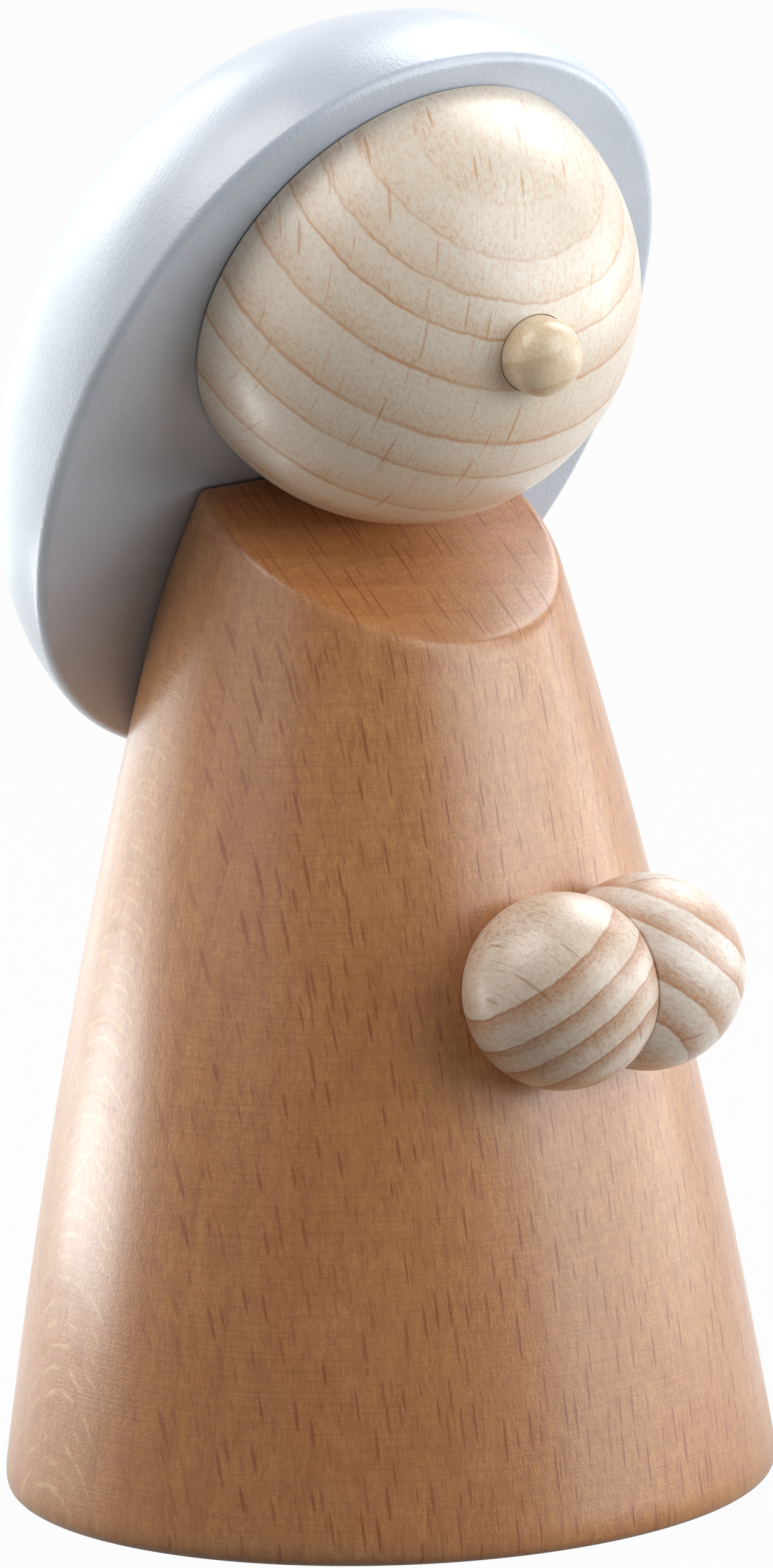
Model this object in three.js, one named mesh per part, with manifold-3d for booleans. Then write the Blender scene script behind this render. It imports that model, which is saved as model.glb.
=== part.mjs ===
// Wooden toy figure: a turned cone body, a ball head with a peg nose, an oval headscarf
// behind the head and two ball hands, all held together by glued dowels.
// Millimetres, +Z up, the figure faces -Y, the origin is the middle of the base.
import * as THREE from 'three';
import { mergeVertices } from 'three/addons/utils/BufferGeometryUtils.js';
import Module from 'manifold-3d';

// Body: a turned cone with bulging sides and a soft bottom edge
const bodyBaseRadius = 29.8;
const bodyTopRadius = 11.4;
const bodySideBulge = 1.6;
const bodyBaseRounding = 3;

// Tilt: the head bows forward, on a shoulder and against a back flat that are cut square to each other
const headTilt = 29;

// Shoulder: the slanting flat that the head sits on, measured on the body's axis,
// and the turned wood above it that is sawn away
const shoulderHeight = 76.6;
const shoulderWaste = 7.4;

// Head: a ball with a flat at the back and a small flat underneath
const headDiameter = 35.7;
const headBackFlat = 1.3;
const headNeckFlat = 0.3;
const headSetBack = 2.65;

// Headscarf: an oval with a flat front and a deep domed back
const scarfWidth = 53.7;
const scarfHeight = 65.6;
const scarfThickness = 23;
const scarfFrontRounding = 0.9;
const scarfDrop = 12.5;
const scarfOvalFullness = 2.15;
const scarfDomeFullness = 2.05;

// Nose: a peg with a domed end, turned and raised from the line that the headscarf faces
const nosePegDiameter = 6;
const nosePegLength = 10;
const noseProud = 3.4;
const noseTurn = 4;
const noseRise = 20.6;

// Hands: two balls with flats where they meet, let into the front of the body a little to its left
const handTurn = 5;
const handDiameter = 15;
const handSpacing = 8.8;
const handHeight = 42.5;
const handSeatDepth = 3.9;

// Dowels: the neck's runs along the back flat, the headscarf's run square to it
const neckDowelDiameter = 4;
const neckDowelLength = 16;
const neckDowelFromBack = 3.3;
const scarfDowelDiameter = 5;
const scarfHeadDowelLength = 16;
const scarfHeadDowelRise = 3;
const scarfBodyDowelLength = 12;
const scarfDowelInScarf = 8;
const dowelWeb = 2.5;
const handDowelDiameter = 4;
const handDowelLength = 14;
const handDowelInBody = 7.5;
const dowelChamfer = 0.6;

// Clearances
const jointGap = 0.3;
const dowelClearance = 0.25;
const dowelEndGap = 0.4;

// Smoothness of the round shapes
const bodySides = 64;
const bodySideSteps = 14;
const headSides = 40;
const handSides = 28;
const scarfSides = 60;
const scarfDomeSteps = 12;
const dowelSides = 20;
const noseDomeSteps = 8;
const cornerSteps = 4;

const wasm = await Module();
wasm.setup();

const headRadius = headDiameter / 2;
const handRadius = handDiameter / 2;
const noseRadius = nosePegDiameter / 2;
const bodyTurnedHeight = shoulderHeight + shoulderWaste;
const figureReach = 2 * (bodyTurnedHeight + bodyBaseRadius + scarfHeight + headDiameter);
const weldTolerance = 1e-5;
const xAxis = new THREE.Vector3(1, 0, 0);
const yAxis = new THREE.Vector3(0, 1, 0);
const zAxis = new THREE.Vector3(0, 0, 1);

// A closed three.js geometry as a solid that can be joined and cut
function solidOf(geometry) {
  const bare = geometry.clone();
  bare.deleteAttribute('normal');
  bare.deleteAttribute('uv');
  const merged = mergeVertices(bare, weldTolerance);
  const corners = merged.index.array;
  const triangles = [];
  for (let i = 0; i < corners.length; i += 3) {
    const [a, b, c] = corners.slice(i, i + 3);
    if (a !== b && b !== c && c !== a) triangles.push(a, b, c);
  }
  return new wasm.Manifold(new wasm.Mesh({
    numProp: 3,
    vertProperties: new Float32Array(merged.attributes.position.array),
    triVerts: new Uint32Array(triangles),
  }));
}

function geometryOf(solid) {
  const mesh = solid.getMesh();
  const geometry = new THREE.BufferGeometry();
  geometry.setAttribute('position', new THREE.BufferAttribute(new Float32Array(mesh.vertProperties), 3));
  geometry.setIndex(new THREE.BufferAttribute(new Uint32Array(mesh.triVerts), 1));
  geometry.computeVertexNormals();
  return geometry;
}

function cut(solid, ...cutters) {
  return cutters.reduce((left, cutter) => left.subtract(solidOf(cutter)), solid);
}

// A shape turned round the Y axis from [radius, height] points
function turned(points, sides) {
  return new THREE.LatheGeometry(points.map(([r, h]) => new THREE.Vector2(r, h)), sides);
}

// Moves a shape made round the Y axis so that its middle is at a point and its axis along a line
function aimed(geometry, middle, along) {
  const turn = new THREE.Quaternion().setFromUnitVectors(yAxis, along);
  return geometry.applyQuaternion(turn).translate(middle.x, middle.y, middle.z);
}

// Everything past a plane, on the side that its normal points to
function pastPlane(point, normal) {
  const block = new THREE.BoxGeometry(figureReach, figureReach, figureReach);
  block.translate(0, figureReach / 2, 0);
  return aimed(block, point, normal);
}

function ball(radius, sides, middle = new THREE.Vector3()) {
  const sphere = new THREE.SphereGeometry(radius, sides, Math.ceil(sides / 2));
  return sphere.translate(middle.x, middle.y, middle.z);
}

function dowelShape(diameter, length) {
  const r = diameter / 2;
  const half = length / 2;
  const c = Math.min(dowelChamfer, r / 2);
  const lower = [[0, -half], [r - c, -half], [r, -half + c]];
  const higher = [[r, half - c], [r - c, half], [0, half]];
  return turned([...lower, ...higher], dowelSides);
}

function dowelBore(diameter, length) {
  const r = diameter / 2 + dowelClearance;
  return new THREE.CylinderGeometry(r, r, length + 2 * dowelEndGap, dowelSides);
}

function wood(color, roughness) {
  return new THREE.MeshStandardMaterial({ color, roughness, metalness: 0 });
}

function node(name, geometry, material) {
  const mesh = new THREE.Mesh(geometry, material);
  mesh.name = name;
  return mesh;
}

const degrees = THREE.MathUtils.degToRad;

// Upper frame: at the head's centre and bowed forward, so that the headscarf faces local -Y
// and the shoulder local +Z
const backward = yAxis.clone().applyAxisAngle(xAxis, degrees(headTilt));
const upward = zAxis.clone().applyAxisAngle(xAxis, degrees(headTilt));
const neckSeat = headRadius - headNeckFlat + jointGap;
const shoulderPoint = new THREE.Vector3(0, 0, shoulderHeight);
const upper = new THREE.Group();
upper.rotation.x = degrees(headTilt);
upper.position.copy(shoulderPoint)
  .addScaledVector(backward, headSetBack)
  .addScaledVector(upward, neckSeat);
upper.updateMatrix();

// Dowel places in the upper frame
const scarfFace = headBackFlat + jointGap;
const neckDowelMiddle = new THREE.Vector3(0, headBackFlat - neckDowelFromBack, -neckSeat);
const scarfDowelEnd = scarfFace + scarfDowelInScarf;
const scarfHeadDowelY = scarfDowelEnd - scarfHeadDowelLength / 2;
const scarfHeadDowelMiddle = new THREE.Vector3(0, scarfHeadDowelY, scarfHeadDowelRise);
const scarfBodyDowelY = scarfDowelEnd - scarfBodyDowelLength / 2;
const neckBoreBottom = -neckSeat - neckDowelLength / 2 - dowelEndGap;
const scarfBodyDowelZ = neckBoreBottom - dowelWeb - dowelClearance - scarfDowelDiameter / 2;
const scarfBodyDowelMiddle = new THREE.Vector3(0, scarfBodyDowelY, scarfBodyDowelZ);

// Nose place in the upper frame: the peg's axis runs through the head's centre
const noseDirection = new THREE.Vector3(0, -1, 0)
  .applyAxisAngle(xAxis, -degrees(noseRise))
  .applyAxisAngle(zAxis, -degrees(noseTurn));
const noseMiddle = noseDirection.clone().multiplyScalar(headRadius + noseProud - nosePegLength / 2);

// Side of the body: a straight cone with a bulge that is greatest half way up
function bodyRadiusAt(height) {
  const t = height / bodyTurnedHeight;
  return THREE.MathUtils.lerp(bodyBaseRadius, bodyTopRadius, t) + 4 * bodySideBulge * t * (1 - t);
}

// Hands: a pair turned round the body's axis, with one hand on each side of its own middle plane
const handPair = new THREE.Group();
handPair.rotation.z = degrees(handTurn);
handPair.updateMatrix();
const handReach = bodyRadiusAt(handHeight) + handRadius - handSeatDepth;
const hands = [{ name: 'right_hand', side: -1 }, { name: 'left_hand', side: 1 }].map(({ name, side }) => {
  const middle = new THREE.Vector3(side * handSpacing / 2, -handReach, handHeight);
  const dowelY = handRadius + handDowelInBody - handDowelLength / 2;
  const dowelMiddle = middle.clone().addScaledVector(yAxis, dowelY);
  return { name, side, middle, dowelMiddle };
});

function bodyGeometry() {
  const points = [[0, 0]];
  for (let i = 0; i <= cornerSteps; i += 1) {
    const turn = (Math.PI / 2) * (i / cornerSteps);
    const height = bodyBaseRounding * (1 - Math.cos(turn));
    points.push([bodyRadiusAt(height) - bodyBaseRounding * (1 - Math.sin(turn)), height]);
  }
  for (let i = 1; i <= bodySideSteps; i += 1) {
    const height = THREE.MathUtils.lerp(bodyBaseRounding, bodyTurnedHeight, i / bodySideSteps);
    points.push([bodyRadiusAt(height), height]);
  }
  points.push([0, bodyTurnedHeight]);
  const blank = turned(points, bodySides).rotateX(Math.PI / 2);
  const backPoint = upper.position.clone().addScaledVector(backward, headBackFlat);
  const neckBore = aimed(dowelBore(neckDowelDiameter, neckDowelLength), neckDowelMiddle, zAxis);
  const scarfBore = aimed(dowelBore(scarfDowelDiameter, scarfBodyDowelLength), scarfBodyDowelMiddle, yAxis);
  const handCuts = hands.flatMap(({ middle, dowelMiddle }) => [
    ball(handRadius + jointGap, handSides, middle),
    aimed(dowelBore(handDowelDiameter, handDowelLength), dowelMiddle, yAxis),
  ]);
  return geometryOf(cut(
    solidOf(blank),
    pastPlane(shoulderPoint, upward),
    pastPlane(backPoint, backward),
    neckBore.applyMatrix4(upper.matrix),
    scarfBore.applyMatrix4(upper.matrix),
    ...handCuts.map((cutter) => cutter.applyMatrix4(handPair.matrix)),
  ));
}

function headGeometry() {
  return geometryOf(cut(
    solidOf(ball(headRadius, headSides)),
    pastPlane(new THREE.Vector3(0, headBackFlat, 0), yAxis),
    pastPlane(new THREE.Vector3(0, 0, headNeckFlat - headRadius), zAxis.clone().negate()),
    aimed(dowelBore(neckDowelDiameter, neckDowelLength), neckDowelMiddle, zAxis),
    aimed(dowelBore(scarfDowelDiameter, scarfHeadDowelLength), scarfHeadDowelMiddle, yAxis),
    aimed(dowelBore(nosePegDiameter, nosePegLength), noseMiddle, noseDirection),
  ));
}

// How far the oval rim is from the middle of the headscarf in a direction round it
function scarfReach(turn) {
  const across = Math.abs(Math.cos(turn)) / (scarfWidth / 2);
  const along = Math.abs(Math.sin(turn)) / (scarfHeight / 2);
  return (across ** scarfOvalFullness + along ** scarfOvalFullness) ** (-1 / scarfOvalFullness);
}

// Front face, rounded front edge, then a dome that curves over to the middle of the back,
// first as a round disc of radius 1 that is then drawn out to the oval
function scarfGeometry() {
  const points = [[0, 0]];
  for (let i = 0; i <= cornerSteps; i += 1) {
    const turn = (Math.PI / 2) * (i / cornerSteps);
    const inset = scarfFrontRounding * (1 - Math.sin(turn));
    points.push([1 - inset / (scarfWidth / 2), scarfFrontRounding * (1 - Math.cos(turn))]);
  }
  const domeDepth = scarfThickness - scarfFrontRounding;
  for (let i = 1; i < scarfDomeSteps; i += 1) {
    const turn = (Math.PI / 2) * (i / scarfDomeSteps);
    const out = Math.cos(turn) ** (2 / scarfDomeFullness);
    const back = Math.sin(turn) ** (2 / scarfDomeFullness);
    points.push([out, scarfFrontRounding + domeDepth * back]);
  }
  points.push([0, scarfThickness]);
  const oval = turned(points, scarfSides);
  const places = oval.attributes.position;
  for (let i = 0; i < places.count; i += 1) {
    const reach = scarfReach(Math.atan2(places.getZ(i), places.getX(i)));
    places.setX(i, places.getX(i) * reach);
    places.setZ(i, places.getZ(i) * reach);
  }
  return geometryOf(cut(
    solidOf(oval.translate(0, scarfFace, -scarfDrop)),
    aimed(dowelBore(scarfDowelDiameter, scarfHeadDowelLength), scarfHeadDowelMiddle, yAxis),
    aimed(dowelBore(scarfDowelDiameter, scarfBodyDowelLength), scarfBodyDowelMiddle, yAxis),
  ));
}

function noseGeometry() {
  const half = nosePegLength / 2;
  const c = Math.min(dowelChamfer, noseRadius / 2);
  const points = [[0, -half], [noseRadius - c, -half], [noseRadius, -half + c]];
  for (let i = 0; i < noseDomeSteps; i += 1) {
    const turn = (Math.PI / 2) * (i / noseDomeSteps);
    points.push([noseRadius * Math.cos(turn), half - noseRadius + noseRadius * Math.sin(turn)]);
  }
  points.push([0, half]);
  return turned(points, dowelSides);
}

function handGeometry({ side, middle, dowelMiddle }) {
  const meeting = new THREE.Vector3(side * jointGap / 2, 0, 0);
  return geometryOf(cut(
    solidOf(ball(handRadius, handSides, middle)),
    pastPlane(meeting, xAxis.clone().multiplyScalar(-side)),
    aimed(dowelBore(handDowelDiameter, handDowelLength), dowelMiddle, yAxis),
  ));
}

// Puts a mesh made round the Y axis at a place and along a line of the group that holds it
function placed(mesh, middle, along) {
  mesh.position.copy(middle);
  mesh.quaternion.setFromUnitVectors(yAxis, along);
  return mesh;
}

const figure = new THREE.Group();
figure.name = 'wooden_toy_figure';
figure.add(upper, handPair);
figure.add(node('body', bodyGeometry(), wood(0xb77a48, 0.4)));
upper.add(node('head', headGeometry(), wood(0xe9dac6, 0.5)));
upper.add(node('headscarf', scarfGeometry(), wood(0xc8ced8, 0.4)));

const nosePeg = node('nose_peg', noseGeometry(), wood(0xe6d0b0, 0.5));
upper.add(placed(nosePeg, noseMiddle, noseDirection));

const neckDowelShape = dowelShape(neckDowelDiameter, neckDowelLength);
const neckDowel = node('neck_dowel', neckDowelShape, wood(0xd8c19a, 0.6));
upper.add(placed(neckDowel, neckDowelMiddle, zAxis));

const scarfHeadDowelShape = dowelShape(scarfDowelDiameter, scarfHeadDowelLength);
const scarfHeadDowel = node('scarf_head_dowel', scarfHeadDowelShape, wood(0xd7bf97, 0.6));
upper.add(placed(scarfHeadDowel, scarfHeadDowelMiddle, yAxis));

const scarfBodyDowelShape = dowelShape(scarfDowelDiameter, scarfBodyDowelLength);
const scarfBodyDowel = node('scarf_body_dowel', scarfBodyDowelShape, wood(0xd5be99, 0.6));
upper.add(placed(scarfBodyDowel, scarfBodyDowelMiddle, yAxis));

for (const hand of hands) {
  handPair.add(node(hand.name, handGeometry(hand), wood(0xdcc9b2, 0.5)));
  const handDowelShape = dowelShape(handDowelDiameter, handDowelLength);
  const handDowel = node(`${hand.name}_dowel`, handDowelShape, wood(0xd6c09b, 0.6));
  handPair.add(placed(handDowel, hand.dowelMiddle, yAxis));
}

export default figure;
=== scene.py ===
import math

import bpy
from mathutils import Matrix, Vector


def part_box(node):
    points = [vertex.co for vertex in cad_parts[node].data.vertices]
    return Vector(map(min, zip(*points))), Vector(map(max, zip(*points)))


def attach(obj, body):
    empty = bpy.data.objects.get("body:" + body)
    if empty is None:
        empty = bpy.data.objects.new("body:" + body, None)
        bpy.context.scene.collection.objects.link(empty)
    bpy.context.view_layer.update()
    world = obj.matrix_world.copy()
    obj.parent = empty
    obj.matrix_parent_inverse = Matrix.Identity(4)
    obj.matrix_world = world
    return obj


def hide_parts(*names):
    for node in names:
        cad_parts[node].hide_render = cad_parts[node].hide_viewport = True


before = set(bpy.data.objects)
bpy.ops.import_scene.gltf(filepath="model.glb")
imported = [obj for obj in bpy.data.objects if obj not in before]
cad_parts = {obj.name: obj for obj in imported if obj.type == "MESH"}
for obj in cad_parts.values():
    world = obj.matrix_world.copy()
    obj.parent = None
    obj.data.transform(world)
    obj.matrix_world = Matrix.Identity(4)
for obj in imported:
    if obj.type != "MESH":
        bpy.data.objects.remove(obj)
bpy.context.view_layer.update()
print("frame loaded:", len(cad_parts), "nodes")

mm = 0.001  # sizes are written in millimetres, as the turner would
scene = bpy.context.scene


# A number or field in a node tree, so that formulas read as formulas
class Field:
    def __init__(self, tree, socket):
        self.tree = tree
        self.socket = socket

    def calc(self, operation, *others):
        node = self.tree.nodes.new("ShaderNodeMath")
        node.operation = operation
        for slot, value in zip(node.inputs, (self, *others)):
            feed(self.tree, slot, value)
        return Field(self.tree, node.outputs[0])

    def __add__(self, other):
        return self.calc("ADD", other)

    def __sub__(self, other):
        return self.calc("SUBTRACT", other)

    def __mul__(self, other):
        return self.calc("MULTIPLY", other)

    def __truediv__(self, other):
        return self.calc("DIVIDE", other)

    def __pow__(self, other):
        return self.calc("POWER", other)

    def span(self, fromLow, fromHigh, toLow=0.0, toHigh=1.0, curve="LINEAR"):
        node = self.tree.nodes.new("ShaderNodeMapRange")
        node.interpolation_type = curve
        for slot, value in zip(node.inputs, (self, fromLow, fromHigh, toLow, toHigh)):
            feed(self.tree, slot, value)
        return Field(self.tree, node.outputs[0])


def feed(tree, slot, value):
    if isinstance(value, Field):
        tree.links.new(value.socket, slot)
    elif isinstance(value, bpy.types.NodeSocket):
        tree.links.new(value, slot)
    else:
        slot.default_value = value


def add(tree, kind, settings=None, **inputs):
    node = tree.nodes.new(kind)
    for key, value in (settings or {}).items():
        setattr(node, key, value)
    for key, value in inputs.items():
        feed(tree, node.inputs[key.replace("_", " ")], value)
    return node


def joinXyz(tree, x, y, z):
    return add(tree, "ShaderNodeCombineXYZ", None, X=x, Y=y, Z=z).outputs[0]


def splitXyz(tree, vector):
    node = add(tree, "ShaderNodeSeparateXYZ", None, Vector=vector)
    return [Field(tree, out) for out in node.outputs]


# Where the pieces are, from the sizes of the solids

figure = {
    "headTilt": 29.0,
    "shoulderHeight": 76.6,
    "headRadius": 17.85,
    "headSetBack": 2.65,
    "neckSeat": 17.85,
    "backFlat": 1.3,
    "scarfDrop": 12.5,
    "handTurn": 5.0,
    "handSpacing": 8.8,
    "handHeight": 42.5,
    "handReach": 25.7,
    "handRadius": 7.5,
    "noseTurn": 4.0,
    "noseRise": 20.6,
    "noseProud": 3.4,
    "nosePegLength": 10.0,
}

tilt = Matrix.Rotation(math.radians(figure["headTilt"]), 3, "X")
backNormal = tilt @ Vector((0, 1, 0))
shoulderNormal = tilt @ Vector((0, 0, 1))
headCentre = (
    Vector((0, 0, figure["shoulderHeight"]))
    + backNormal * figure["headSetBack"]
    + shoulderNormal * figure["neckSeat"]
) * mm
backDistance = backNormal.dot(headCentre) + figure["backFlat"] * mm
noseLine = tilt @ (
    Matrix.Rotation(-math.radians(figure["noseTurn"]), 3, "Z")
    @ Matrix.Rotation(-math.radians(figure["noseRise"]), 3, "X")
    @ Vector((0, -1, 0))
)
handTurn = Matrix.Rotation(math.radians(figure["handTurn"]), 3, "Z")
noseMiddle = figure["headRadius"] + figure["noseProud"] - figure["nosePegLength"] / 2
nosePlace = headCentre + noseLine * noseMiddle * mm


def handPlace(side):
    middle = Vector((side * figure["handSpacing"] / 2, -figure["handReach"], figure["handHeight"]))
    return handTurn @ middle * mm


def upperPlace(x, y, z):
    return headCentre + tilt @ (Vector((x, y, z)) * mm)


def turnTo(direction):
    return Vector((0, 0, 1)).rotation_difference(direction).to_euler()


# Camera: the photograph's long lens, a little above the figure and slightly rolled

camera = {
    "azimuth": -37.0,
    "elevation": 12.0,
    "roll": 1.77,
    "distance": 1449.0,
    "sideways": -0.366,
    "upwards": 52.993,
    "towards": 11.44,
    "lens": 436.4,
    "sensor": 36.0,
    "clipStart": 0.05,
    "clipEnd": 20.0,
}


def viewAxes():
    a = math.radians(camera["azimuth"])
    e = math.radians(camera["elevation"])
    roll = math.radians(camera["roll"])
    back = Vector((math.sin(a) * math.cos(e), -math.cos(a) * math.cos(e), math.sin(e)))
    level = Vector((math.cos(a), math.sin(a), 0))
    rise = back.cross(level)
    right = level * math.cos(roll) - rise * math.sin(roll)
    up = level * math.sin(roll) + rise * math.cos(roll)
    return right, up, back


viewRight, viewUp, viewBack = viewAxes()


def seen(right, up, back):
    return viewRight * right + viewUp * up + viewBack * back


def makeCamera():
    data = bpy.data.cameras.new("camera")
    data.sensor_fit = "AUTO"
    data.sensor_width = camera["sensor"]
    data.lens = camera["lens"]
    data.clip_start = camera["clipStart"]
    data.clip_end = camera["clipEnd"]
    eye = bpy.data.objects.new("camera", data)
    away = camera["towards"] + camera["distance"]
    place = seen(camera["sideways"], camera["upwards"], away) * mm
    axes = Matrix((viewRight, viewUp, viewBack)).transposed()
    eye.matrix_world = Matrix.Translation(place) @ axes.to_4x4()
    scene.collection.objects.link(eye)
    scene.camera = eye


makeCamera()
print("camera placed")


# Geometry Nodes: shared steps of the turned pieces

turning = {
    "weldDistance": 2e-6,
    "crispAngle": 0.6,
    "leastSlope": 0.01,
    "boreSides": 48,
    "seatSegments": 96,
    "seatRings": 48,
}

# Radius and depth of the bores for the dowels and the nose, clearance included
bores = {
    "neck": (2.25, 16.8),
    "scarfHead": (2.75, 16.8),
    "scarfBody": (2.75, 12.8),
    "hand": (2.25, 14.8),
    "nose": (3.06, 10.8),
}

floatKind = "NodeSocketFloat"
vectorKind = "NodeSocketVector"
wholeKind = "NodeSocketInt"


def newShape(name, inputs):
    tree = bpy.data.node_groups.new(name, "GeometryNodeTree")
    tree.is_modifier = True
    sockets = {}
    for label, kind in inputs.items():
        sockets[label] = tree.interface.new_socket(label, in_out="INPUT", socket_type=kind)
    tree.interface.new_socket("Geometry", in_out="OUTPUT", socket_type="NodeSocketGeometry")
    source = tree.nodes.new("NodeGroupInput")
    values = {label: Field(tree, source.outputs[label]) for label in inputs}
    return tree, sockets, values


# A unit sheet whose columns go round the axis and whose rows go along the profile
def unitSheet(tree, sides, rows):
    sheet = add(
        tree, "GeometryNodeMeshGrid", None,
        Size_X=1.0, Size_Y=1.0, Vertices_X=sides, Vertices_Y=rows,
    )
    place = tree.nodes.new("GeometryNodeInputPosition").outputs[0]
    x, y = splitXyz(tree, place)[:2]
    return sheet.outputs["Mesh"], (x + 0.5) * math.tau, y + 0.5


# Closes the seam and the poles of a sheet that was bent round the axis
def bend(tree, sheet, place):
    moved = add(tree, "GeometryNodeSetPosition", None, Geometry=sheet, Position=place)
    closed = add(
        tree, "GeometryNodeMergeByDistance", None,
        Geometry=moved.outputs[0], Distance=turning["weldDistance"],
    )
    return closed.outputs[0]


# A dome over the last rows of a sheet: how far in and how far up each row lies
def domeCurve(share, start, fullness):
    swing = share.span(start, 1.0, 0.0, math.pi / 2)
    power = (fullness / 2.0) ** -1.0
    narrow = swing.calc("COSINE").calc("MAXIMUM", 0.0) ** power
    return narrow, swing.calc("SINE") ** power


# The length of a ray to a plane that it leaves by, or far away where it never does
def rayLength(distance, slope):
    return distance / slope.calc("MAXIMUM", turning["leastSlope"])


def moveTo(tree, shape, place, turn):
    node = add(
        tree, "GeometryNodeTransform", None,
        Geometry=shape, Translation=place, Rotation=turn,
    )
    return node.outputs[0]


def cutAway(tree, shape, cutters):
    node = tree.nodes.new("GeometryNodeMeshBoolean")
    node.operation = "DIFFERENCE"
    node.solver = "MANIFOLD"
    tree.links.new(shape, node.inputs[0])
    for cutter in cutters:
        tree.links.new(cutter, node.inputs[1])
    return node.outputs[0]


def bore(tree, kind, place, turn):
    radius, depth = bores[kind]
    rod = add(
        tree, "GeometryNodeMeshCylinder", None,
        Radius=radius * mm, Depth=depth * mm, Vertices=turning["boreSides"],
    )
    return moveTo(tree, rod.outputs["Mesh"], place, turn)


# Smooth faces, crisp rims, then the finish
def closeShape(tree, shape, material):
    angle = tree.nodes.new("GeometryNodeInputMeshEdgeAngle").outputs["Unsigned Angle"]
    smooth = add(tree, "GeometryNodeSetShadeSmooth", {"domain": "FACE"}, Geometry=shape)
    crisp = add(tree, "GeometryNodeSetShadeSmooth", {"domain": "EDGE"}, Geometry=smooth.outputs[0])
    sharp = Field(tree, angle).calc("GREATER_THAN", turning["crispAngle"])
    feed(tree, crisp.inputs["Selection"], sharp)
    crisp.inputs["Shade Smooth"].default_value = False
    real = add(tree, "GeometryNodeRealizeInstances", None, Geometry=crisp.outputs[0])
    painted = add(
        tree, "GeometryNodeSetMaterial", None,
        Geometry=real.outputs[0], Material=material,
    )
    end = tree.nodes.new("NodeGroupOutput")
    tree.links.new(painted.outputs[0], end.inputs[0])


# Runs a tree with its sizes and leaves a plain mesh that stands for a CAD node
def makePiece(name, node, shape, sizes, material):
    tree, sockets = shape
    holder = bpy.data.objects.new(name + "Maker", bpy.data.meshes.new(name + "Maker"))
    scene.collection.objects.link(holder)
    maker = holder.modifiers.new(name, "NODES")
    maker.node_group = tree
    for label, value in sizes.items():
        maker[sockets[label].identifier] = value
    graph = bpy.context.evaluated_depsgraph_get()
    mesh = bpy.data.meshes.new_from_object(holder.evaluated_get(graph))
    holder.modifiers.remove(maker)
    bpy.data.objects.remove(holder)
    mesh.name = name
    piece = bpy.data.objects.new(name, mesh)
    scene.collection.objects.link(piece)
    mesh.materials.clear()
    mesh.materials.append(material)
    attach(piece, "root")
    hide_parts(node)
    print("made", name, len(mesh.polygons), "faces")


# Finishes

bumpDepth = 0.12 * mm


def newFinish(name):
    material = bpy.data.materials.new(name)
    material.use_nodes = True
    tree = material.node_tree
    shader = tree.nodes["Principled BSDF"]
    return material, tree, shader


# A colour Mix node keeps its colours in sockets 6 and 7 and gives the result in 2
def blendColour(tree, factor, first, second):
    node = tree.nodes.new("ShaderNodeMix")
    node.data_type = "RGBA"
    feed(tree, node.inputs["Factor"], factor)
    feed(tree, node.inputs[6], first)
    feed(tree, node.inputs[7], second)
    return node.outputs[2]


def noise(tree, vector, scale, detail=2.0, roughness=0.5):
    node = add(
        tree, "ShaderNodeTexNoise", None,
        Vector=vector, Scale=scale, Detail=detail, Roughness=roughness,
    )
    return Field(tree, node.outputs["Fac"])


# Written as on a screen, turned by the sRGB curve into the light values that the shader wants
def tint(red, green, blue):
    def light(value):
        share = value / 255
        return share / 12.92 if share <= 0.04045 else ((share + 0.055) / 1.055) ** 2.4
    return (light(red), light(green), light(blue), 1.0)


def setBump(tree, shader, finish, height):
    bump = add(
        tree, "ShaderNodeBump", None,
        Strength=finish["bump"], Distance=bumpDepth, Height=height,
    )
    feed(tree, shader.inputs["Normal"], bump.outputs[0])


def setShine(shader, finish):
    shader.inputs["Specular IOR Level"].default_value = finish["shine"]
    shader.inputs["Coat Weight"].default_value = finish["coat"]
    shader.inputs["Coat Roughness"].default_value = finish["coatRough"]


# Noises in the log, in repeats per millimetre towards the pith, round the ring and up the grain
grain = {
    "wave": {"scale": (0.05, 0.06, 0.03)},
    "patch": {"scale": (0.3, 0.2, 0.15)},
    "layer": {"scale": (0.3, 0.3, 0.4)},
    "rayGroup": {"scale": (0.5, 2.6, 0.3)},
    "fibre": {"scale": (4.0, 4.0, 0.35), "detail": 3.0, "roughness": 0.6},
    "pores": {"scale": (3.4, 3.4, 1.5), "roughness": 0.7},
    "blotch": {"scale": (0.09, 0.09, 0.045), "detail": 3.0, "roughness": 0.6},
    "spun": {"scale": (0.12, 0.12, 4.5), "roughness": 0.6},
    "streak": {"scale": (1.1, 1.1, 0.3), "detail": 3.0, "roughness": 0.65},
}

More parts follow.
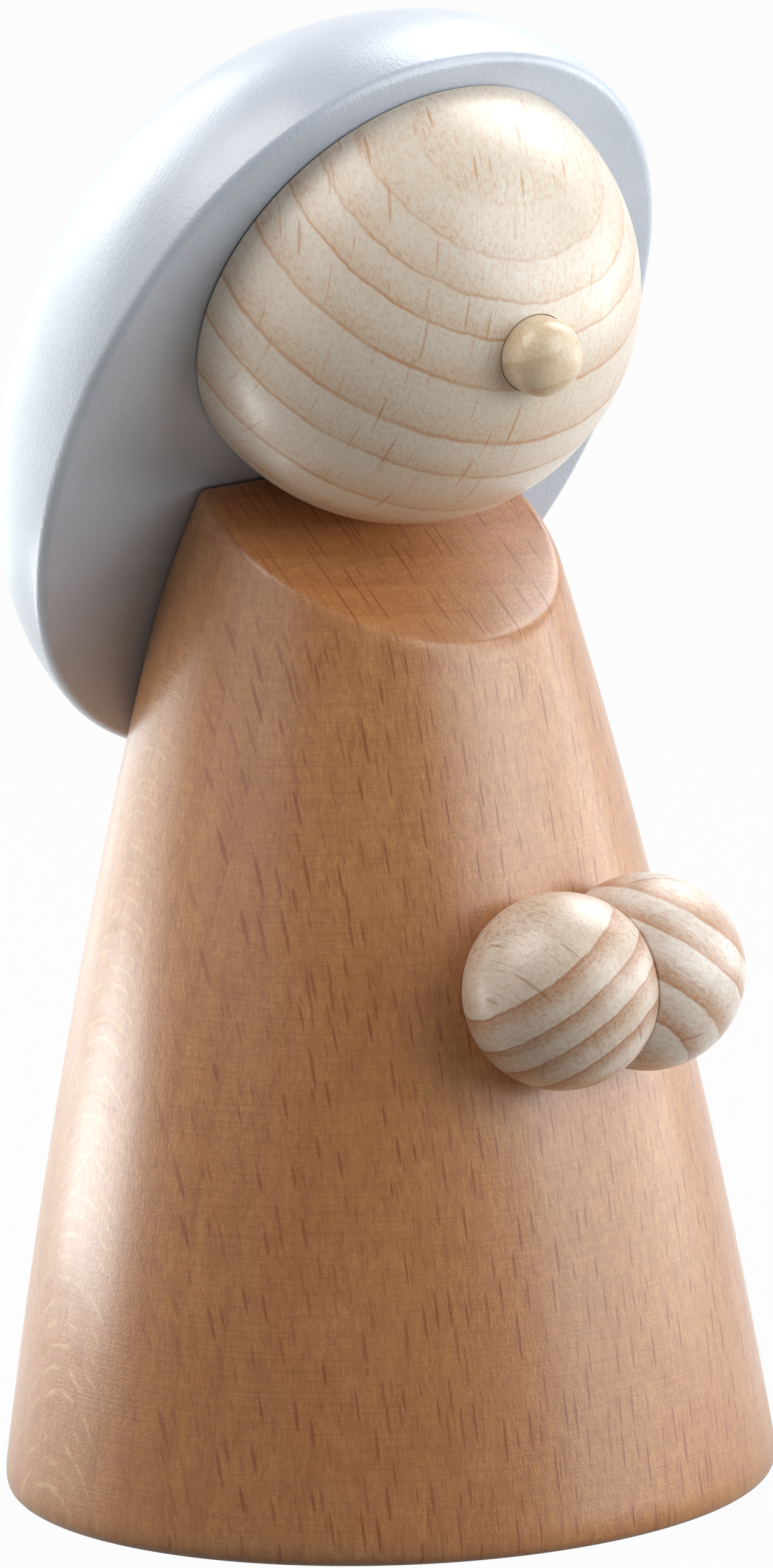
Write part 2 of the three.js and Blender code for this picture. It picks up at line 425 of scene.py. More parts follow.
# Pairs are the limits between which a mark comes in or fades, the rest are shares and scales
marks = {
    "wobbleScale": 0.5,
    "wobbleDetail": 3.0,
    "lateRise": (0.3, 0.92),
    "lateFall": (0.95, 1.0),
    "lineRise": (0.86, 0.94),
    "lineFall": (0.955, 1.0),
    "linePatch": (0.3, 0.6),
    "linePatchLeast": 0.3,
    "ringFadeWidth": 0.35,
    "fleckWander": 0.15,
    "fleckShortest": 0.45,
    "fleckEdge": (1.0, 0.35),
    "fleckDepth": (0.1, 0.6),
    "fleckDepthLeast": 0.35,
    "fleckPhase": (0.1, 0.9),
    "faintShift": 37.0,
    "sheetFlat": (0.86, 0.96),
    "sheetEdge": (0.94, 0.99),
    "rayWave": 0.8,
    "rayRise": (0.66, 0.86),
    "rayFall": (0.88, 1.0),
    "rayGroup": (0.44, 0.62),
    "blotch": (0.3, 0.7),
    "pores": (0.46, 0.7),
    "fibre": (0.35, 0.7),
    "spun": (0.45, 0.75),
    "streak": (0.35, 0.68),
    "roughPores": (0.3, 0.7),
    "roughLess": 0.05,
    "roughMore": 0.06,
    "roughFleck": 0.12,
    "bumpFibre": 0.4,
    "bumpPores": 0.3,
    "bumpFleck": 0.15,
    "skinDetail": 2.0,
    "skinRoughness": 0.6,
}


# Beech: growth rings across the radial line, ray flecks as thin sheets along the grain.
# The ring places are millimetres from the piece's middle, and each ring darkens
# towards the next place.
def beech(name, wood):
    material, tree, shader = newFinish(name)
    radial = wood["radial"].normalized()
    tangent = (wood["tangent"] - radial * wood["tangent"].dot(radial)).normalized()
    log = Matrix((radial, tangent, radial.cross(tangent)))
    place = tree.nodes.new("ShaderNodeTexCoord").outputs["Object"]
    sawn = add(tree, "ShaderNodeMapping", {"vector_type": "POINT"}, Vector=place)
    shift = Vector((0, *wood["shift"]))
    sawn.inputs["Scale"].default_value = (1 / mm,) * 3
    sawn.inputs["Rotation"].default_value = log.to_euler()
    sawn.inputs["Location"].default_value = shift - log @ wood["middle"] / mm
    across, along, up = splitXyz(tree, sawn.outputs[0])
    normal = tree.nodes.new("ShaderNodeNewGeometry").outputs["Normal"]

    def facing(direction):
        node = add(tree, "ShaderNodeVectorMath", {"operation": "DOT_PRODUCT"})
        feed(tree, node.inputs[0], normal)
        node.inputs[1].default_value = direction
        return Field(tree, node.outputs["Value"]).calc("ABSOLUTE")

    def grainNoise(kind):
        settings = dict(grain[kind])
        x, y, z = settings.pop("scale")
        return noise(tree, joinXyz(tree, across * x, along * y, up * z), 1.0, **settings)

    def band(field, rise, fall, curve="LINEAR"):
        return field.span(*marks[rise], curve=curve) * field.span(*marks[fall], 1.0, 0.0)

    # slow waves in the log bend every layer
    wander = (grainNoise("wave") - 0.5) * wood["wander"]
    small = noise(tree, sawn.outputs[0], marks["wobbleScale"], marks["wobbleDetail"])
    ringPlace = across + wander + (small - 0.5) * wood["ringWobble"]
    steps = [ringPlace.span(a, b) for a, b in zip(wood["rings"], wood["rings"][1:])]
    count = steps[0]
    for step in steps[1:]:
        count = count + step
    phase = count.calc("FRACT")
    late = band(phase, "lateRise", "lateFall", "SMOOTHSTEP")
    line = band(phase, "lineRise", "lineFall", "SMOOTHSTEP")
    patch = grainNoise("patch").span(*marks["linePatch"], marks["linePatchLeast"], 1.0)
    ringSeen = facing(radial).span(wood["ringFade"], wood["ringFade"] - marks["ringFadeWidth"])

    # ray flecks: one thin spindle in each cell, long towards the pith
    def flecks(size, shift):
        cell = joinXyz(
            tree,
            (across + shift) / size["cellRadial"],
            (along + wander * marks["fleckWander"]) / size["cellTangent"],
            up / size["cellGrain"],
        )
        cells = add(
            tree, "ShaderNodeTexVoronoi", {"voronoi_dimensions": "3D"},
            Vector=cell, Scale=1.0,
        )
        gap = add(tree, "ShaderNodeVectorMath", {"operation": "SUBTRACT"})
        feed(tree, gap.inputs[0], cell)
        feed(tree, gap.inputs[1], cells.outputs["Position"])
        radialGap, tangentGap, grainGap = splitXyz(tree, gap.outputs[0])
        luck = add(tree, "ShaderNodeSeparateColor", None, Color=cells.outputs["Color"])
        longer = Field(tree, luck.outputs[0]).span(0, 1, marks["fleckShortest"], 1.0)
        depth = Field(tree, luck.outputs[1])
        r = radialGap * (size["cellRadial"] / size["halfRadial"])
        t = tangentGap * (size["cellTangent"] / size["halfTangent"])
        g = grainGap * (size["cellGrain"] / size["halfGrain"]) / longer
        inside = (r * r + t * t + g * g).span(*marks["fleckEdge"], curve="SMOOTHSTEP")
        return inside * depth.span(*marks["fleckDepth"], marks["fleckDepthLeast"], 1.0)

    bold = flecks(wood["bold"], 0.0)
    faint = flecks(wood["faint"], marks["faintShift"])
    dash = (bold * wood["boldShow"]).calc("MAXIMUM", faint * wood["faintShow"])
    dash = dash * phase.span(*marks["fleckPhase"], 1.0 - wood["fleckOnRing"], 1.0)

    # where the surface lies along the sheets the fine rays show as pale arcs
    turned = facing(tangent)
    flat = turned.span(*marks["sheetFlat"], curve="SMOOTHSTEP")
    edge = turned.span(*marks["sheetEdge"], curve="SMOOTHSTEP")
    fine = (along / wood["rayGap"] + grainNoise("layer") * marks["rayWave"]).calc("FRACT")
    group = grainNoise("rayGroup").span(*marks["rayGroup"])
    flake = band(fine, "rayRise", "rayFall") * group * edge

    # fibres along the grain, a fuzzy speckle of pores and the marks of turning
    fibre = grainNoise("fibre")
    pores = grainNoise("pores")
    spun = grainNoise("spun")
    streak = grainNoise("streak")
    blotch = grainNoise("blotch")
    speckle = pores.span(*marks["pores"]) * (late * wood["lateSpeckle"] + 1.0)

    colour = blendColour(tree, blotch.span(*marks["blotch"]), wood["pale"], wood["warm"])
    washes = (
        (late * ringSeen * wood["lateShow"], "late"),
        (speckle * wood["poreShow"], "line"),
        (fibre.span(*marks["fibre"]) * wood["fibreShow"], "late"),
        (spun.span(*marks["spun"]) * wood["spunShow"], "late"),
        (streak.span(*marks["streak"]) * wood["streakShow"], "late"),
        (line * patch * ringSeen * wood["lineShow"], "line"),
        (dash * (flat * -1.0 + 1.0), "fleck"),
        (flake * wood["flakeShow"], "flake"),
    )
    for share, tone in washes:
        colour = blendColour(tree, share, colour, wood[tone])
    feed(tree, shader.inputs["Base Color"], colour)

    skin = noise(
        tree, sawn.outputs[0], wood["skinScale"], marks["skinDetail"], marks["skinRoughness"],
    )
    height = fibre * marks["bumpFibre"] + pores * marks["bumpPores"] - dash * marks["bumpFleck"]
    setBump(tree, shader, wood, height + spun * wood["spunShow"] + skin * wood["skin"])
    least, most = wood["rough"] - marks["roughLess"], wood["rough"] + marks["roughMore"]
    rough = pores.span(*marks["roughPores"], least, most)
    feed(tree, shader.inputs["Roughness"], rough + dash * marks["roughFleck"])
    setShine(shader, wood)
    return material


def evenRings(gap, count):
    return [gap * ring for ring in range(-count, count + 1)]


bodyTurn = math.radians(-10)
bodyGrainLean = math.radians(1)
bodyWood = {
    "radial": Vector((math.sin(bodyTurn), -math.cos(bodyTurn), 0)),
    "tangent": Vector((math.cos(bodyTurn), math.sin(bodyTurn), math.tan(bodyGrainLean))),
    "middle": Vector((0, 0, 0)),
    "shift": (0, 0),
    "wander": 3.0,
    "ringWobble": 0.7,
    "rings": evenRings(3.3, 10),
    "ringFade": 0.85,
    "bold": {
        "cellRadial": 16.0, "cellTangent": 1.0, "cellGrain": 4.2,
        "halfRadial": 11.0, "halfTangent": 0.14, "halfGrain": 2.2,
    },
    "faint": {
        "cellRadial": 9.0, "cellTangent": 0.9, "cellGrain": 2.2,
        "halfRadial": 4.2, "halfTangent": 0.09, "halfGrain": 0.95,
    },
    "rayGap": 0.32,
    "boldShow": 0.85,
    "faintShow": 0.5,
    "fleckOnRing": 0.2,
    "lateShow": 0.15,
    "lateSpeckle": 0.5,
    "lineShow": 0.15,
    "fibreShow": 0.4,
    "poreShow": 0.3,
    "spunShow": 0.35,
    "streakShow": 0.4,
    "flakeShow": 0.5,
    "pale": tint(212, 153, 97),
    "warm": tint(202, 138, 81),
    "late": tint(161, 96, 51),
    "line": tint(150, 86, 42),
    "fleck": tint(152, 80, 34),
    "flake": tint(240, 206, 152),
    "skinScale": 4.5,
    "skin": 0.7,
    "bump": 0.5,
    "rough": 0.42,
    "shine": 0.5,
    "coat": 1.0,
    "coatRough": 0.28,
}
bodyBeech = beech("bodyBeech", bodyWood)

headWood = {
    "radial": seen(0.39, 0.636, 0.666),
    "tangent": seen(0.847, -0.1, -0.4),
    "middle": headCentre,
    "shift": (0, 0),
    "wander": 0.8,
    "ringWobble": 0.5,
    "rings": [18.2, 16.6, 14.7, 12.6, 10.4, 7.1, 2.4, -1.2, -6.4, -11.0, -16.0],
    "ringFade": 0.99,
    "bold": {
        "cellRadial": 5.0, "cellTangent": 2.2, "cellGrain": 5.0,
        "halfRadial": 2.6, "halfTangent": 0.14, "halfGrain": 1.9,
    },
    "faint": {
        "cellRadial": 3.6, "cellTangent": 1.5, "cellGrain": 5.0,
        "halfRadial": 1.6, "halfTangent": 0.07, "halfGrain": 2.0,
    },
    "rayGap": 0.5,
    "boldShow": 0.75,
    "faintShow": 0.5,
    "fleckOnRing": 0.3,
    "lateShow": 0.55,
    "lateSpeckle": 0.8,
    "lineShow": 0.7,
    "fibreShow": 0.15,
    "poreShow": 0.3,
    "spunShow": 0.0,
    "streakShow": 0.2,
    "flakeShow": 0.2,
    "pale": tint(240, 230, 216),
    "warm": tint(234, 220, 203),
    "late": tint(221, 191, 158),
    "line": tint(202, 140, 86),
    "fleck": tint(204, 144, 92),
    "flake": tint(244, 234, 218),
    "skinScale": 3.0,
    "skin": 0.5,
    "bump": 0.4,
    "rough": 0.42,
    "shine": 0.6,
    "coat": 0.85,
    "coatRough": 0.28,
}
headBeech = beech("headBeech", headWood)

rightHandWood = dict(headWood)
rightHandWood.update({
    "radial": seen(-0.58, 0.76, 0.3),
    "tangent": seen(0.627, 0.649, -0.431),
    "middle": handPlace(-1),
    "shift": (17, 5),
    "rings": [-8.4, -6.2, -4.0, -1.75, 0.55, 3.2, 9.5],
    "lateShow": 0.72,
    "lateSpeckle": 1.8,
    "coat": 0.75,
    "coatRough": 0.3,
    "pale": tint(235, 222, 206),
    "warm": tint(228, 211, 192),
    "late": tint(184, 130, 90),
    "line": tint(172, 110, 70),
    "fleck": tint(158, 108, 70),
})
rightHandBeech = beech("rightHandBeech", rightHandWood)

leftHandWood = dict(rightHandWood)
leftHandWood.update({
    "radial": seen(0.43, 0.84, -0.33),
    "tangent": seen(0.3, 0.2, 0.9),
    "middle": handPlace(1),
    "shift": (11, 23),
    "rings": [8.4, 3.4, 0.9, -2.4, -4.9, -7.4],
    "pale": tint(244, 236, 226),
    "warm": tint(238, 227, 215),
    "late": tint(188, 138, 98),
    "line": tint(184, 118, 74),
})
leftHandBeech = beech("leftHandBeech", leftHandWood)

noseWood = dict(headWood)
noseWood.update({
    "radial": seen(-0.3, 0.9, 0.2),
    "tangent": seen(0.9, 0.3, 0.1),
    "middle": nosePlace,
    "rings": evenRings(2.4, 4),
    "shift": (7, 13),
    "pale": tint(243, 226, 200),
    "warm": tint(236, 214, 184),
    "late": tint(214, 182, 140),
    "line": tint(196, 156, 108),
    "boldShow": 0.15,
    "lineShow": 0.0,
})
noseBeech = beech("noseBeech", noseWood)

dowelWood = dict(noseWood)
dowelWood.update({
    "middle": Vector((0, 0, 0)),
    "rings": evenRings(3.0, 12),
    "rough": 0.6,
    "coat": 0.0,
})
dowelBeech = beech("dowelBeech", dowelWood)


# Headscarf paint: satin pale blue-grey, slightly stippled by the roller
scarfPaint = {
    "light": tint(200, 208, 222),
    "dark": tint(191, 199, 213),
    "speck": tint(164, 170, 186),
    "cloudScale": 0.12,
    "cloudDetail": 3.0,
    "cloud": (0.35, 0.65),
    "fineScale": 5.0,
    "fineDetail": 2.0,
    "fineRoughness": 0.6,
    "fineHeight": 0.25,
    "specks": (0.58, 0.78),
    "speckShow": 0.35,
    "stippleScale": 2.8,
    "bump": 0.4,
    "rough": 0.36,
    "roughSpread": 0.05,
    "roughFine": (0.3, 0.7),
    "shine": 1.0,
    "coat": 0.5,
    "coatRough": 0.25,
}


def makeScarfPaint():
    material, tree, shader = newFinish("scarfPaint")
    paint = scarfPaint
    place = tree.nodes.new("ShaderNodeTexCoord").outputs["Object"]
    sized = add(tree, "ShaderNodeMapping", {"vector_type": "POINT"}, Vector=place)
    sized.inputs["Scale"].default_value = (1 / mm,) * 3
    place = sized.outputs[0]
    cloud = noise(tree, place, paint["cloudScale"], paint["cloudDetail"])
    fine = noise(tree, place, paint["fineScale"], paint["fineDetail"], paint["fineRoughness"])
    stipple = noise(tree, place, paint["stippleScale"], paint["fineDetail"], paint["fineRoughness"])
    colour = blendColour(tree, cloud.span(*paint["cloud"]), paint["light"], paint["dark"])
    specks = fine.span(*paint["specks"]) * paint["speckShow"]
    feed(tree, shader.inputs["Base Color"], blendColour(tree, specks, colour, paint["speck"]))
    setBump(tree, shader, paint, stipple + fine * paint["fineHeight"])
    least, most = paint["rough"] - paint["roughSpread"], paint["rough"] + paint["roughSpread"]
    feed(tree, shader.inputs["Roughness"], fine.span(*paint["roughFine"], least, most))
    setShine(shader, paint)
    return material


scarfFinish = makeScarfPaint()
print("finishes made")


# Body: rays from a point inside end at the turned side, the base or a sawn flat,
# whichever is nearest. The row angles are pairs of a row and its angle from the axis.
bodySizes = {
    "baseRadius": 29.8,
    "topRadius": 11.4,
    "turnedHeight": 84.0,
    "sideBulge": 1.6,
    "heartHeight": 34.0,
    "shoulderSoft": 1.1,
    "backSoft": 1.0,
    "baseSoft": 4.0,
    "seatGap": 0.1,
    "sides": 224,
    "rows": 352,
    "rowAngles": [(0, 0), (8, 4), (168, 32), (258, 118), (268, 128), (338, 147), (352, 180)],
}


def bodyShape():
    labels = {
        "baseRadius": floatKind, "topRadius": floatKind, "turnedHeight": floatKind,
        "sideBulge": floatKind, "heartHeight": floatKind, "shoulderHeight": floatKind,
        "headTilt": floatKind, "backDistance": floatKind,
        "shoulderSoft": floatKind, "backSoft": floatKind, "baseSoft": floatKind,
        "sides": wholeKind, "rows": wholeKind, "seatRadius": floatKind,
        "rightHand": vectorKind, "leftHand": vectorKind,
        "neckBore": vectorKind, "scarfBore": vectorKind,
        "rightBore": vectorKind, "leftBore": vectorKind,
        "neckTurn": vectorKind, "scarfTurn": vectorKind, "handTurn": vectorKind,
    }
    tree, sockets, v = newShape("turnedBody", labels)
    sheet, around, share = unitSheet(tree, v["sides"], v["rows"])
    row = share * bodySizes["rows"]
    steps = bodySizes["rowAngles"]
    swing = None
    for (rowA, angleA), (rowB, angleB) in zip(steps, steps[1:]):
        part = row.span(rowA, rowB, 0.0, math.radians(angleB - angleA))
        swing = part if swing is None else swing + part
    out = swing.calc("SINE")
    rise = swing.calc("COSINE")
    dx = out * around.calc("SINE")
    dy = out * around.calc("COSINE") * -1.0
    heart = v["heartHeight"]
    height = v["turnedHeight"]
    # side: radius = a + b z + c z^2, met by the ray at the positive root
    bulge = v["sideBulge"] * 4.0
    b = (v["topRadius"] - v["baseRadius"] + bulge) / height
    c = bulge * -1.0 / (height * height)
    qa = c * rise * rise
    qb = (b + c * heart * 2.0) * rise - out
    qc = v["baseRadius"] + b * heart + c * heart * heart
    root = (qb * qb - qa * qc * 4.0).calc("SQRT")
    toSide = qc * 2.0 / (root - qb)
    # flats: the shoulder, the back and the base
    tiltSine, tiltCosine = v["headTilt"].calc("SINE"), v["headTilt"].calc("COSINE")
    shoulderReach = (v["shoulderHeight"] - heart) * tiltCosine
    toShoulder = rayLength(shoulderReach, rise * tiltCosine - dy * tiltSine)
    backReach = v["backDistance"] - heart * tiltSine
    toBack = rayLength(backReach, dy * tiltCosine + rise * tiltSine)
    toBase = rayLength(heart, rise * -1.0)
    reach = toSide.calc("SMOOTH_MIN", toBase, v["baseSoft"])
    reach = reach.calc("SMOOTH_MIN", toShoulder, v["shoulderSoft"])
    reach = reach.calc("SMOOTH_MIN", toBack, v["backSoft"])
    blank = bend(tree, sheet, joinXyz(tree, dx * reach, dy * reach, rise * reach + heart))
    cutters = []
    for hand in ("rightHand", "leftHand"):
        ball = add(
            tree, "GeometryNodeMeshUVSphere", None, Radius=v["seatRadius"],
            Segments=turning["seatSegments"], Rings=turning["seatRings"],
        )
        cutters.append(moveTo(tree, ball.outputs["Mesh"], v[hand], (0, 0, 0)))
    cutters.append(bore(tree, "neck", v["neckBore"], v["neckTurn"]))
    cutters.append(bore(tree, "scarfBody", v["scarfBore"], v["scarfTurn"]))
    cutters.append(bore(tree, "hand", v["rightBore"], v["handTurn"]))
    cutters.append(bore(tree, "hand", v["leftBore"], v["handTurn"]))
    closeShape(tree, cutAway(tree, blank, cutters), bodyBeech)
    return tree, sockets


def middleOf(node):
    low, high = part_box(node)
    return (low + high) / 2


def makeBody():
    lengths = (
        "baseRadius", "topRadius", "turnedHeight", "sideBulge", "heartHeight",
        "shoulderSoft", "backSoft", "baseSoft",
    )
    sizes = {label: bodySizes[label] * mm for label in lengths}
    sizes.update({
        "shoulderHeight": figure["shoulderHeight"] * mm,
        "headTilt": math.radians(figure["headTilt"]),
        "backDistance": backDistance,
        "sides": bodySizes["sides"] + 1,
        "rows": bodySizes["rows"] + 1,
        "seatRadius": (figure["handRadius"] + bodySizes["seatGap"]) * mm,
        "rightHand": handPlace(-1),
        "leftHand": handPlace(1),
        "neckBore": middleOf("neck_dowel"),
        "scarfBore": middleOf("scarf_body_dowel"),
        "rightBore": middleOf("right_hand_dowel"),
        "leftBore": middleOf("left_hand_dowel"),
        "neckTurn": turnTo(shoulderNormal),
        "scarfTurn": turnTo(backNormal),
        "handTurn": turnTo(handTurn @ Vector((0, 1, 0))),
    })
    makePiece("body_turned", "body", bodyShape(), sizes, bodyBeech)


makeBody()


# Balls: a turned ball with a flat at its pole, for the head and the hands. Its rows are
# shared out between the flat, the degrees on both sides of its rim, and the rest.
ballSizes = {
    "headFlat": 1.42,
    "headFlatSoft": 0.5,
    "neckFlat": 17.75,
    "neckSoft": 0.6,
    "handGap": 0.06,
    "handSoft": 0.25,
    "headSides": 160,
    "headRows": 150,
    "handSides": 128,
    "handRows": 120,
    "flatShare": 0.15,
    "rimShare": 0.33,
    "rimSpread": 4.0,
    "noSideFlat": 1000.0,
}


def ballShape(name, boreKinds, material):
    labels = {
        "radius": floatKind, "flat": floatKind, "flatSoft": floatKind,
        "side": vectorKind, "sideFlat": floatKind, "sideSoft": floatKind,
        "rimAngle": floatKind, "sides": wholeKind, "rows": wholeKind,
        "place": vectorKind, "turn": vectorKind,
    }
    for kind in boreKinds:
        labels[kind + "Place"] = vectorKind
        labels[kind + "Turn"] = vectorKind
    tree, sockets, v = newShape(name, labels)
    sheet, around, share = unitSheet(tree, v["sides"], v["rows"])
    # rows crowd together at the rim of the flat
    rim = v["rimAngle"]
    near = math.radians(ballSizes["rimSpread"])
    flatShare, rimShare = ballSizes["flatShare"], ballSizes["rimShare"]
    swing = share.span(0.0, flatShare, 0.0, rim - near)
    swing = swing + share.span(flatShare, rimShare, 0.0, 2 * near)
    swing = swing + share.span(rimShare, 1.0, 0.0, rim * -1.0 + (math.pi - near))
    out = swing.calc("SINE")
    rise = swing.calc("COSINE")
    dx = out * around.calc("COSINE")
    dy = out * around.calc("SINE")
    sideX, sideY, sideZ = splitXyz(tree, v["side"])
    toSide = rayLength(v["sideFlat"], dx * sideX + dy * sideY + rise * sideZ)
    reach = v["radius"].calc("SMOOTH_MIN", rayLength(v["flat"], rise), v["flatSoft"])
    reach = reach.calc("SMOOTH_MIN", toSide, v["sideSoft"])
    blank = bend(tree, sheet, joinXyz(tree, dx * reach, dy * reach, rise * reach))
    ball = moveTo(tree, blank, v["place"], v["turn"])
    rods = [bore(tree, kind, v[kind + "Place"], v[kind + "Turn"]) for kind in boreKinds]
    closeShape(tree, cutAway(tree, ball, rods), material)
    return tree, sockets


def makeHead():
    turn = turnTo(backNormal)
    neckWay = turn.to_matrix().inverted() @ (-shoulderNormal)
    sizes = {
        "radius": figure["headRadius"] * mm,
        "flat": ballSizes["headFlat"] * mm,
        "flatSoft": ballSizes["headFlatSoft"] * mm,
        "side": neckWay,
        "sideFlat": ballSizes["neckFlat"] * mm,
        "sideSoft": ballSizes["neckSoft"] * mm,
        "rimAngle": math.acos(ballSizes["headFlat"] / figure["headRadius"]),
        "sides": ballSizes["headSides"] + 1,
        "rows": ballSizes["headRows"] + 1,
        "place": headCentre,
        "turn": turn,
        "neckPlace": middleOf("neck_dowel"),
        "neckTurn": turnTo(shoulderNormal),
        "scarfHeadPlace": middleOf("scarf_head_dowel"),
        "scarfHeadTurn": turn,
        "nosePlace": nosePlace,
        "noseTurn": turnTo(noseLine),
    }
    shape = ballShape("turnedHead", ("neck", "scarfHead", "nose"), headBeech)
    makePiece("head_turned", "head", shape, sizes, headBeech)


def makeHand(name, node, side, material):
    flat = figure["handSpacing"] / 2 - ballSizes["handGap"]
    sizes = {
        "radius": figure["handRadius"] * mm,
        "flat": flat * mm,
        "flatSoft": ballSizes["handSoft"] * mm,
        "side": (0, 0, -1),
        "sideFlat": ballSizes["noSideFlat"] * mm,
        "sideSoft": 0.0,
        "rimAngle": math.acos(flat / figure["handRadius"]),
        "sides": ballSizes["handSides"] + 1,
        "rows": ballSizes["handRows"] + 1,
        "place": handPlace(side),
        "turn": turnTo(handTurn @ Vector((-side, 0, 0))),
        "handPlace": middleOf(node + "_dowel"),
        "handTurn": turnTo(handTurn @ Vector((0, 1, 0))),
    }
    shape = ballShape(name + "Ball", ("hand",), material)
    makePiece(node + "_turned", node, shape, sizes, material)


makeHead()
makeHand("rightHand", "right_hand", -1, rightHandBeech)
makeHand("leftHand", "left_hand", 1, leftHandBeech)


# Headscarf: an oval with a flat front, a softened edge and a deep dome over to the
# middle of the back. Its rows are shared out between the flat, the edge and the dome.
scarfSizes = {
    "halfWidth": 26.85,
    "halfHeight": 32.8,
    "ovalFullness": 2.15,
    "frontRounding": 0.9,
    "domeDepth": 22.1,
    "domeFullness": 2.05,
    "face": 1.52,
    "flatShare": 0.12,
    "edgeShare": 0.3,
    "sides": 288,
    "rows": 130,
}


def scarfShape():
    labels = {
        "halfWidth": floatKind, "halfHeight": floatKind, "ovalFullness": floatKind,
        "frontRounding": floatKind, "domeDepth": floatKind, "domeFullness": floatKind,
        "sides": wholeKind, "rows": wholeKind, "place": vectorKind, "turn": vectorKind,
        "headBore": vectorKind, "bodyBore": vectorKind,
    }
    tree, sockets, v = newShape("turnedScarf", labels)
    sheet, around, share = unitSheet(tree, v["sides"], v["rows"])
    flatShare, edgeShare = scarfSizes["flatShare"], scarfSizes["edgeShare"]
    flat = share.span(0.0, flatShare)
    corner = share.span(flatShare, edgeShare, 0.0, math.pi / 2)
    narrow, deep = domeCurve(share, edgeShare, v["domeFullness"])
    # the rim's distance from the middle, round the oval
    fullness = v["ovalFullness"]
    across = around.calc("COSINE").calc("ABSOLUTE") / v["halfWidth"]
    along = around.calc("SINE").calc("ABSOLUTE") / v["halfHeight"]
    rim = (across ** fullness + along ** fullness) ** (fullness ** -1.0 * -1.0)
    rounding = v["frontRounding"]
    radius = ((rim - rounding) * flat + rounding * corner.calc("SINE")) * narrow
    depth = rounding * (corner.calc("COSINE") * -1.0 + 1.0) + v["domeDepth"] * deep
    x = radius * around.calc("COSINE")
    z = radius * around.calc("SINE")
    blank = bend(tree, sheet, joinXyz(tree, x * -1.0, depth, z))
    oval = moveTo(tree, blank, v["place"], v["turn"])
    boreTurn = turnTo(backNormal)
    rods = [
        bore(tree, "scarfHead", v["headBore"], boreTurn),
        bore(tree, "scarfBody", v["bodyBore"], boreTurn),
    ]
    closeShape(tree, cutAway(tree, oval, rods), scarfFinish)
    return tree, sockets


def makeScarf():
    lengths = ("halfWidth", "halfHeight", "frontRounding", "domeDepth")
    sizes = {label: scarfSizes[label] * mm for label in lengths}
    sizes.update({
        "ovalFullness": scarfSizes["ovalFullness"],
        "domeFullness": scarfSizes["domeFullness"],
        "sides": scarfSizes["sides"] + 1,
        "rows": scarfSizes["rows"] + 1,
        "place": upperPlace(0, scarfSizes["face"], -figure["scarfDrop"]),
        "turn": tilt.to_euler(),
        "headBore": middleOf("scarf_head_dowel"),
        "bodyBore": middleOf("scarf_body_dowel"),
    })
    shape = scarfShape()
    makePiece("headscarf_turned", "headscarf", shape, sizes, scarfFinish)


makeScarf()


# Nose: a short peg with a button end. Its rows are shared out between the flat, the
# chamfer, the straight side and the dome.
noseSizes = {
    "radius": 3.0,
    "chamfer": 0.6,
    "dome": 2.6,
    "domeFullness": 2.3,
    "flatShare": 0.1,
    "chamferShare": 0.15,
    "sideShare": 0.3,
    "sides": 96,
    "rows": 80,
}


def noseShape():
    labels = {
        "radius": floatKind, "chamfer": floatKind, "length": floatKind, "dome": floatKind,
        "domeFullness": floatKind, "sides": wholeKind, "rows": wholeKind,
        "place": vectorKind, "turn": vectorKind,
    }
    tree, sockets, v = newShape("turnedNose", labels)
    sheet, around, share = unitSheet(tree, v["sides"], v["rows"])
    flatShare, chamferShare = noseSizes["flatShare"], noseSizes["chamferShare"]
    sideShare = noseSizes["sideShare"]
    flat = share.span(0.0, flatShare)
    corner = share.span(flatShare, chamferShare)
    side = share.span(chamferShare, sideShare)
    narrow, deep = domeCurve(share, sideShare, v["domeFullness"])
    chamfer = v["chamfer"]
    radius = ((v["radius"] - chamfer) * flat + chamfer * corner) * narrow
    straight = v["length"] - chamfer - v["dome"]
    height = chamfer * corner + straight * side + v["dome"] * deep - v["length"] * 0.5
    x = radius * around.calc("COSINE")
    y = radius * around.calc("SINE")
    blank = bend(tree, sheet, joinXyz(tree, x, y, height))
    closeShape(tree, moveTo(tree, blank, v["place"], v["turn"]), noseBeech)
    return tree, sockets


def makeNose():
    sizes = {label: noseSizes[label] * mm for label in ("radius", "chamfer", "dome")}
    sizes.update({
        "length": figure["nosePegLength"] * mm,
        "domeFullness": noseSizes["domeFullness"],
        "sides": noseSizes["sides"] + 1,
        "rows": noseSizes["rows"] + 1,
        "place": nosePlace,
        "turn": turnTo(noseLine),
    })
    makePiece("nose_turned", "nose_peg", noseShape(), sizes, noseBeech)


makeNose()


# Dowels keep their solids and get bare beech
dowels = (
    "neck_dowel", "scarf_head_dowel", "scarf_body_dowel", "right_hand_dowel", "left_hand_dowel",
)
for dowel in dowels:
    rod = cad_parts[dowel]
    rod.data.materials.clear()
    rod.data.materials.append(dowelBeech)
print("pieces made")


# Floor, world and lamps

studio = {
    "floorSize": 6.0,
    "floorTone": (0.23, 0.21, 0.18, 1.0),
    "floorRough": 0.9,
    "floorGlow": 0.97,
    "floorDim": (-0.04, 0.02),
    "worldDim": (-0.35, 0.0),
    "frontGloss": 0.25,
}

tones = {
    "plain": (1.0, 1.0, 1.0),
    "pale": (0.96, 0.99, 1.0),
    "cool": (0.92, 0.98, 1.0),
    "window": (0.86, 0.98, 0.97),
    "warm": (1.0, 0.975, 0.94),
}

